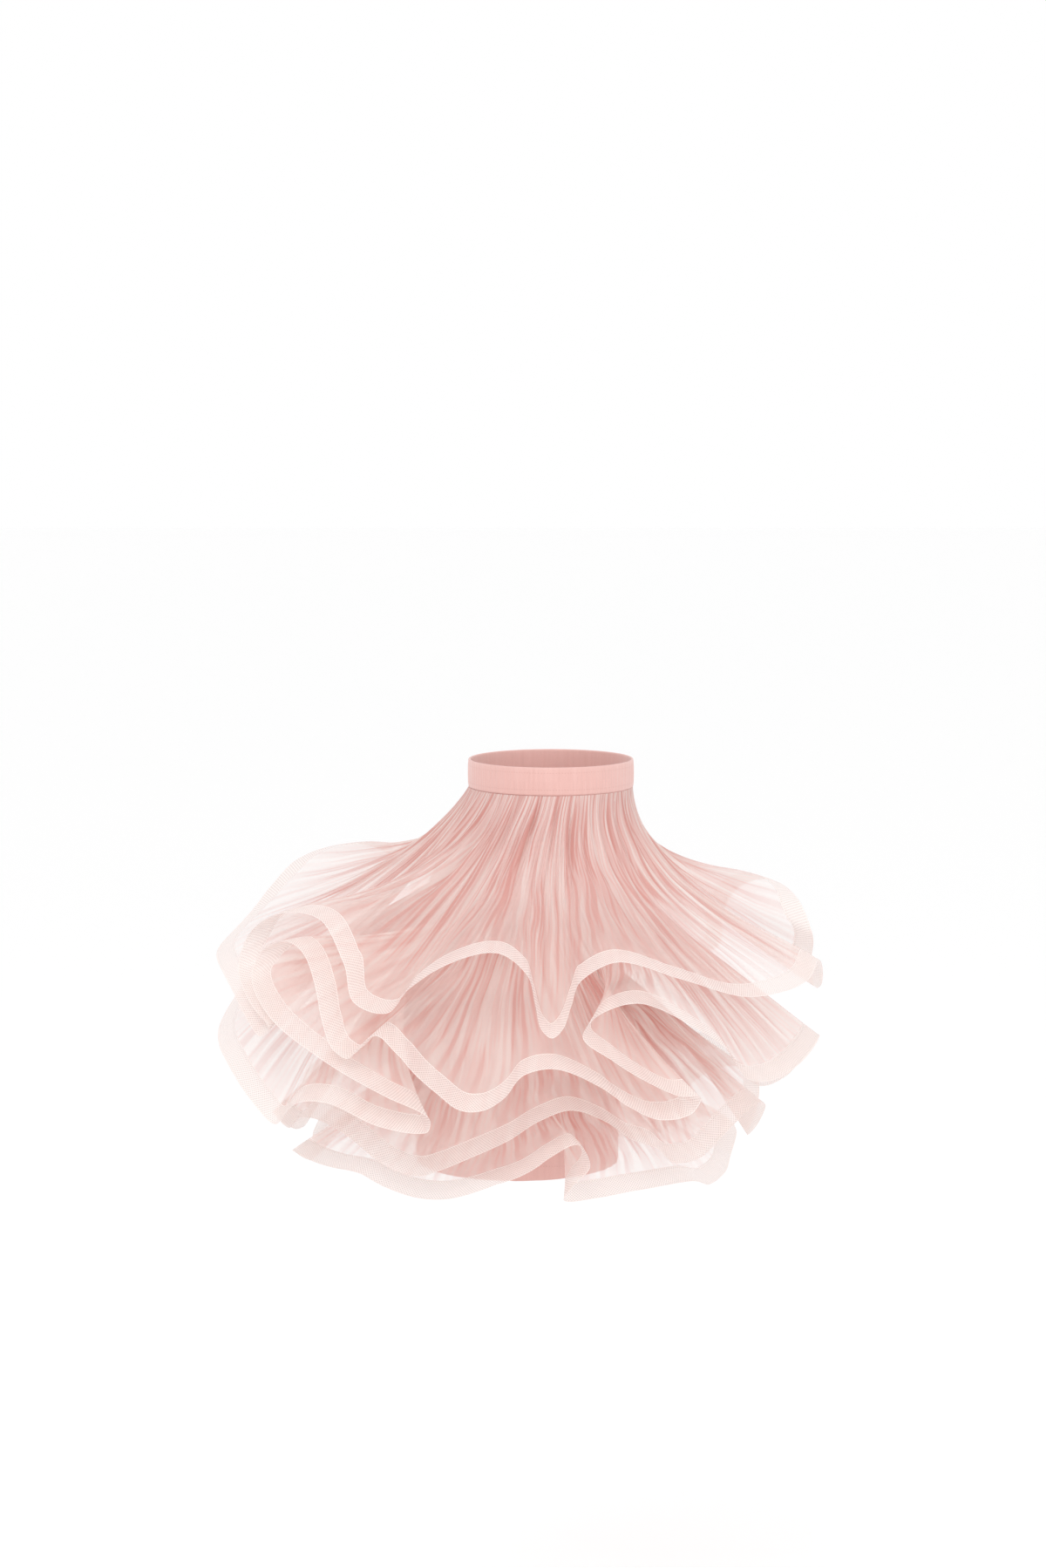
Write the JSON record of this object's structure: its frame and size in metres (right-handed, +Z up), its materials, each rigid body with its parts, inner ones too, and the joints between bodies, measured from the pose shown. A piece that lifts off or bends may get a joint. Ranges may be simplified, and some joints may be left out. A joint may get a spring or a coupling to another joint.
{
  "type": "tiered ruffle mini skirt",
  "caption": "Worn-form tiered mini skirt: slim underskirt with pleated sheer flounces whose hems roll in waves held by a stiff woven braid.",
  "frame": {"origin": "centre of the waist, at the middle of the waistband's height", "axes": "+Z up along the body, -Y towards the wearer's front, -X towards the wearer's right side"},
  "size_m": [0.7231, 0.6554, 0.4497],
  "materials": {
    "waistband": "matte pink woven elastic casing with two rows of stitching",
    "underskirt": "soft opaque pink crepe with a turned hem",
    "organza": "sheer crinkle-pleated pink organza",
    "braid": "stiff pale pink horsehair braid, a fine diagonal mesh with crisp edges"
  },
  "bodies": {
    "root": {"waistband": "waistband", "underskirt": "underskirt", "flounce_1": "organza", "flounce_2": "organza", "flounce_3": "organza", "flounce_4": "organza", "braid_1": "braid", "braid_2": "braid", "braid_3": "braid", "braid_4": "braid"}
  },
  "joints": []
}
